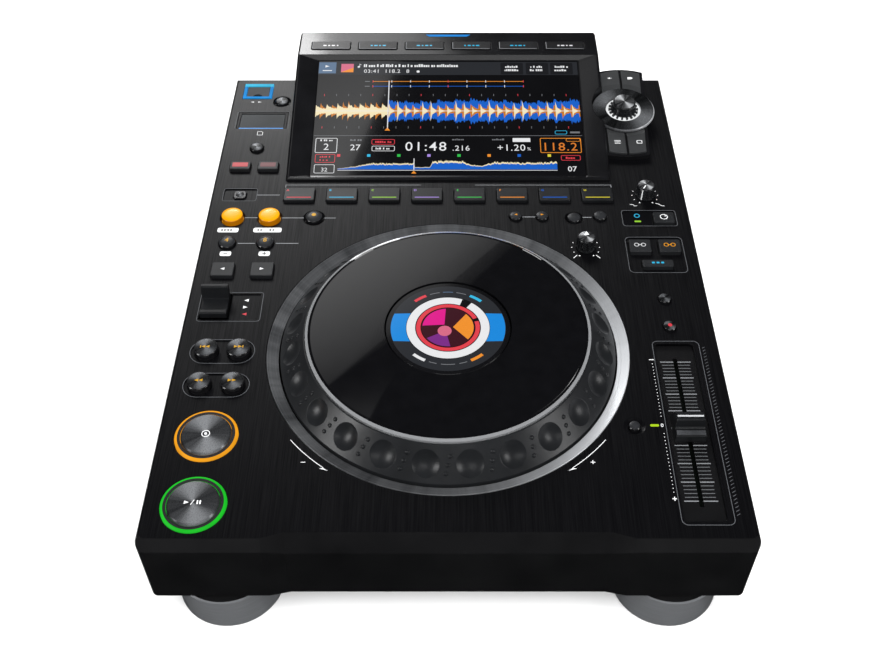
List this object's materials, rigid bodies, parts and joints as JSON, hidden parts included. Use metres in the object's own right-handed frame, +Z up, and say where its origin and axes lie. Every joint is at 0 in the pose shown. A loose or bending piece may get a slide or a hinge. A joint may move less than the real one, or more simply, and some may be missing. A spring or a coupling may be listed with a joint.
{
  "type": "tabletop dj media player",
  "caption": "Tabletop media player with a jog wheel, tilted screen, press keys, rotary selector and long tempo fader on a flat deck that stands on round feet.",
  "frame": {"origin": "on the table, under the centre of the bounding box", "axes": "+X to the user's right, +Y away from the user, +Z up"},
  "size_m": [0.329, 0.453, 0.118],
  "materials": {
    "face_plate": "black, brushed from front to back under a clear coat",
    "case_plastic": "black moulded plastic, satin",
    "tray_steel": "black powder coat on folded steel",
    "foot_metal": "turned, grey",
    "housing_plastic": "black moulded plastic, satin",
    "screen_glass": "dark glass over a colour screen",
    "trim_metal": "turned rings",
    "light_guide": "translucent, lit from below",
    "platter_plastic": "dark grey, soft touch",
    "disc_gloss": "black gloss with a bright ring",
    "round_display": "dark glass over a round colour screen",
    "inner_plastic": "black engineering plastic",
    "inner_metal": "plain turned metal",
    "spun_button": "dark chrome, spun face",
    "dark_button": "black moulded plastic",
    "grey_key": "grey moulded plastic",
    "lit_pad": "dark rubber-like plastic with lit edge",
    "knob_plastic": "black plastic with a spun metal cap",
    "socket_plastic": "black plastic and bright metal",
    "board": "green solder mask"
  },
  "bodies": {
    "chassis": {"face_plate": "face_plate", "upper_case": "case_plastic", "lower_case": "tray_steel", "feet": "foot_metal", "display_housing": "housing_plastic", "display_panel": "screen_glass", "trim_rings": "trim_metal", "light_guides": "light_guide", "jog_spindle": "inner_plastic", "jog_display": "round_display", "media_sockets": "socket_plastic", "circuit_boards": "board", "rear_sockets": "socket_plastic"},
    "jog": {"jog_platter": "platter_plastic", "jog_top_disc": "disc_gloss", "encoder_disc": "inner_plastic"},
    "display_keys": {"display_keys": "grey_key"},
    "direction_lever": {"direction_lever": "dark_button"},
    "tempo_fader": {"tempo_fader": "knob_plastic"},
    "speed_knob": {"speed_knob": "knob_plastic"},
    "jog_adjust_knob": {"jog_adjust_knob": "knob_plastic"},
    "selector_shaft": {"selector_shaft": "inner_metal"},
    "selector_knob": {"selector_knob": "knob_plastic"},
    "selector_keys": {"selector_keys": "grey_key"},
    "usb_cover": {"usb_cover": "dark_button"},
    "card_cover": {"card_cover": "dark_button"},
    "power_button": {"power_button": "dark_button"},
    "cue_button": {"cue_button": "spun_button"},
    "play_button": {"play_button": "spun_button"},
    "loop_in_button": {"loop_in_button": "spun_button"},
    "loop_out_button": {"loop_out_button": "spun_button"},
    "loop_exit_button": {"loop_exit_button": "dark_button"},
    "usb_stop_button": {"usb_stop_button": "dark_button"},
    "delete_button": {"delete_button": "dark_button"},
    "tempo_reset_button": {"tempo_reset_button": "dark_button"},
    "beat_loop_4_button": {"beat_loop_4_button": "dark_button"},
    "beat_loop_8_button": {"beat_loop_8_button": "dark_button"},
    "time_mode_button": {"time_mode_button": "dark_button"},
    "memory_button": {"memory_button": "dark_button"},
    "tempo_range_button": {"tempo_range_button": "dark_button"},
    "master_tempo_button": {"master_tempo_button": "dark_button"},
    "track_back_button": {"track_back_button": "spun_button"},
    "track_next_button": {"track_next_button": "spun_button"},
    "search_back_button": {"search_back_button": "spun_button"},
    "search_forward_button": {"search_forward_button": "spun_button"},
    "beat_jump_back_key": {"beat_jump_back_key": "grey_key"},
    "beat_jump_forward_key": {"beat_jump_forward_key": "grey_key"},
    "jog_mode_key": {"jog_mode_key": "grey_key"},
    "call_delete_button": {"call_delete_button": "dark_button"},
    "sync_keys": {"sync_keys": "grey_key"},
    "quantize_slip_keys": {"quantize_slip_keys": "grey_key"},
    "cue_call_buttons": {"cue_call_buttons": "dark_button"},
    "hot_cue_a": {"hot_cue_a": "lit_pad"},
    "hot_cue_b": {"hot_cue_b": "lit_pad"},
    "hot_cue_c": {"hot_cue_c": "lit_pad"},
    "hot_cue_d": {"hot_cue_d": "lit_pad"},
    "hot_cue_e": {"hot_cue_e": "lit_pad"},
    "hot_cue_f": {"hot_cue_f": "lit_pad"},
    "hot_cue_g": {"hot_cue_g": "lit_pad"},
    "hot_cue_h": {"hot_cue_h": "lit_pad"}
  },
  "joints": [
    {"name": "jog_turn", "type": "hinge", "parent": "chassis", "child": "jog", "pos_m": [0, -0.0843, 0.091], "axis": [0, 0, 1], "continuous": true},
    {"name": "cue_button_press", "type": "slide", "parent": "chassis", "child": "cue_button", "axis": [0, 0, -1], "range_m": [0, 0.0012], "stiffness_N_per_m": 1500},
    {"name": "play_button_press", "type": "slide", "parent": "chassis", "child": "play_button", "axis": [0, 0, -1], "range_m": [0, 0.0012], "stiffness_N_per_m": 1500},
    {"name": "hot_cue_a_press", "type": "slide", "parent": "chassis", "child": "hot_cue_a", "axis": [0, 0, -1], "range_m": [0, 0.0008], "stiffness_N_per_m": 1200},
    {"name": "hot_cue_b_press", "type": "slide", "parent": "chassis", "child": "hot_cue_b", "axis": [0, 0, -1], "range_m": [0, 0.0008], "stiffness_N_per_m": 1200},
    {"name": "hot_cue_c_press", "type": "slide", "parent": "chassis", "child": "hot_cue_c", "axis": [0, 0, -1], "range_m": [0, 0.0008], "stiffness_N_per_m": 1200},
    {"name": "hot_cue_d_press", "type": "slide", "parent": "chassis", "child": "hot_cue_d", "axis": [0, 0, -1], "range_m": [0, 0.0008], "stiffness_N_per_m": 1200},
    {"name": "hot_cue_e_press", "type": "slide", "parent": "chassis", "child": "hot_cue_e", "axis": [0, 0, -1], "range_m": [0, 0.0008], "stiffness_N_per_m": 1200},
    {"name": "hot_cue_f_press", "type": "slide", "parent": "chassis", "child": "hot_cue_f", "axis": [0, 0, -1], "range_m": [0, 0.0008], "stiffness_N_per_m": 1200},
    {"name": "hot_cue_g_press", "type": "slide", "parent": "chassis", "child": "hot_cue_g", "axis": [0, 0, -1], "range_m": [0, 0.0008], "stiffness_N_per_m": 1200},
    {"name": "hot_cue_h_press", "type": "slide", "parent": "chassis", "child": "hot_cue_h", "axis": [0, 0, -1], "range_m": [0, 0.0008], "stiffness_N_per_m": 1200},
    {"name": "loop_in_button_press", "type": "slide", "parent": "chassis", "child": "loop_in_button", "axis": [0, 0, -1], "range_m": [0, 0.0006], "stiffness_N_per_m": 1200},
    {"name": "loop_out_button_press", "type": "slide", "parent": "chassis", "child": "loop_out_button", "axis": [0, 0, -1], "range_m": [0, 0.0006], "stiffness_N_per_m": 1200},
    {"name": "loop_exit_button_press", "type": "slide", "parent": "chassis", "child": "loop_exit_button", "axis": [0, 0, -1], "range_m": [0, 0.0006], "stiffness_N_per_m": 1200},
    {"name": "usb_stop_button_press", "type": "slide", "parent": "chassis", "child": "usb_stop_button", "axis": [0, 0, -1], "range_m": [0, 0.0006], "stiffness_N_per_m": 1200},
    {"name": "delete_button_press", "type": "slide", "parent": "chassis", "child": "delete_button", "axis": [0, 0, -1], "range_m": [0, 0.0006], "stiffness_N_per_m": 1200},
    {"name": "tempo_reset_button_press", "type": "slide", "parent": "chassis", "child": "tempo_reset_button", "axis": [0, 0, -1], "range_m": [0, 0.0006], "stiffness_N_per_m": 1200},
    {"name": "beat_loop_4_button_press", "type": "slide", "parent": "chassis", "child": "beat_loop_4_button", "axis": [0, 0, -1], "range_m": [0, 0.0006], "stiffness_N_per_m": 1200},
    {"name": "beat_loop_8_button_press", "type": "slide", "parent": "chassis", "child": "beat_loop_8_button", "axis": [0, 0, -1], "range_m": [0, 0.0006], "stiffness_N_per_m": 1200},
    {"name": "time_mode_button_press", "type": "slide", "parent": "chassis", "child": "time_mode_button", "axis": [0, 0, -1], "range_m": [0, 0.0006], "stiffness_N_per_m": 1200},
    {"name": "memory_button_press", "type": "slide", "parent": "chassis", "child": "memory_button", "axis": [0, 0, -1], "range_m": [0, 0.0006], "stiffness_N_per_m": 1200},
    {"name": "tempo_range_button_press", "type": "slide", "parent": "chassis", "child": "tempo_range_button", "axis": [0, 0, -1], "range_m": [0, 0.0006], "stiffness_N_per_m": 1200},
    {"name": "master_tempo_button_press", "type": "slide", "parent": "chassis", "child": "master_tempo_button", "axis": [0, 0, -1], "range_m": [0, 0.0006], "stiffness_N_per_m": 1200},
    {"name": "track_back_button_press", "type": "slide", "parent": "chassis", "child": "track_back_button", "axis": [0, 0, -1], "range_m": [0, 0.0006], "stiffness_N_per_m": 1200},
    {"name": "track_next_button_press", "type": "slide", "parent": "chassis", "child": "track_next_button", "axis": [0, 0, -1], "range_m": [0, 0.0006], "stiffness_N_per_m": 1200},
    {"name": "search_back_button_press", "type": "slide", "parent": "chassis", "child": "search_back_button", "axis": [0, 0, -1], "range_m": [0, 0.0006], "stiffness_N_per_m": 1200},
    {"name": "search_forward_button_press", "type": "slide", "parent": "chassis", "child": "search_forward_button", "axis": [0, 0, -1], "range_m": [0, 0.0006], "stiffness_N_per_m": 1200},
    {"name": "beat_jump_back_key_press", "type": "slide", "parent": "chassis", "child": "beat_jump_back_key", "axis": [0, 0, -1], "range_m": [0, 0.0006], "stiffness_N_per_m": 1200},
    {"name": "beat_jump_forward_key_press", "type": "slide", "parent": "chassis", "child": "beat_jump_forward_key", "axis": [0, 0, -1], "range_m": [0, 0.0006], "stiffness_N_per_m": 1200},
    {"name": "jog_mode_key_press", "type": "slide", "parent": "chassis", "child": "jog_mode_key", "axis": [0, 0, -1], "range_m": [0, 0.0006], "stiffness_N_per_m": 1200},
    {"name": "call_delete_button_press", "type": "slide", "parent": "chassis", "child": "call_delete_button", "axis": [0, 0, -1], "range_m": [0, 0.0006], "stiffness_N_per_m": 1200},
    {"name": "sync_keys_press", "type": "slide", "parent": "chassis", "child": "sync_keys", "axis": [0, 0, -1], "range_m": [0, 0.0006], "stiffness_N_per_m": 1200},
    {"name": "quantize_slip_keys_press", "type": "slide", "parent": "chassis", "child": "quantize_slip_keys", "axis": [0, 0, -1], "range_m": [0, 0.0006], "stiffness_N_per_m": 1200},
    {"name": "cue_call_buttons_press", "type": "slide", "parent": "chassis", "child": "cue_call_buttons", "axis": [0, 0, -1], "range_m": [0, 0.0006], "stiffness_N_per_m": 1200},
    {"name": "display_keys_press", "type": "slide", "parent": "chassis", "child": "display_keys", "axis": [0, 0, -1], "range_m": [0, 0.0006], "stiffness_N_per_m": 1200},
    {"name": "selector_keys_press", "type": "slide", "parent": "chassis", "child": "selector_keys", "axis": [0, 0.1045, -0.9945], "range_m": [0, 0.0006], "stiffness_N_per_m": 1200},
    {"name": "selector_push", "type": "slide", "parent": "chassis", "child": "selector_shaft", "axis": [0, 0.1045, -0.9945], "range_m": [0, 0.0006], "stiffness_N_per_m": 2000},
    {"name": "selector_turn", "type": "hinge", "parent": "selector_shaft", "child": "selector_knob", "pos_m": [0.1299, 0.142, 0.1], "axis": [0, -0.1045, 0.9945], "continuous": true},
    {"name": "speed_turn", "type": "hinge", "parent": "chassis", "child": "speed_knob", "pos_m": [0.1368, 0.056, 0.091], "axis": [0, 0, -1], "range_deg": [0, 300]},
    {"name": "jog_adjust_turn", "type": "hinge", "parent": "chassis", "child": "jog_adjust_knob", "pos_m": [0.0912, 0.003, 0.091], "axis": [0, 0, -1], "range_deg": [-150, 150]},
    {"name": "tempo_slide", "type": "slide", "parent": "chassis", "child": "tempo_fader", "axis": [0, 1, 0], "range_m": [-0.05, 0.05]},
    {"name": "direction_rock", "type": "hinge", "parent": "chassis", "child": "direction_lever", "pos_m": [-0.14635, -0.0518, 0.085], "axis": [1, 0, 0], "range_deg": [-10, 10]},
    {"name": "usb_cover_open", "type": "hinge", "parent": "chassis", "child": "usb_cover", "pos_m": [-0.1461, 0.1854, 0.09005], "axis": [-1, 0, 0], "range_deg": [0, 95]},
    {"name": "card_cover_open", "type": "hinge", "parent": "chassis", "child": "card_cover", "pos_m": [-0.13885, 0.1499, 0.09005], "axis": [-1, 0, 0], "range_deg": [0, 95]},
    {"name": "power_press", "type": "slide", "parent": "chassis", "child": "power_button", "axis": [0, -1, 0], "range_m": [0, 0.002], "stiffness_N_per_m": 800}
  ]
}
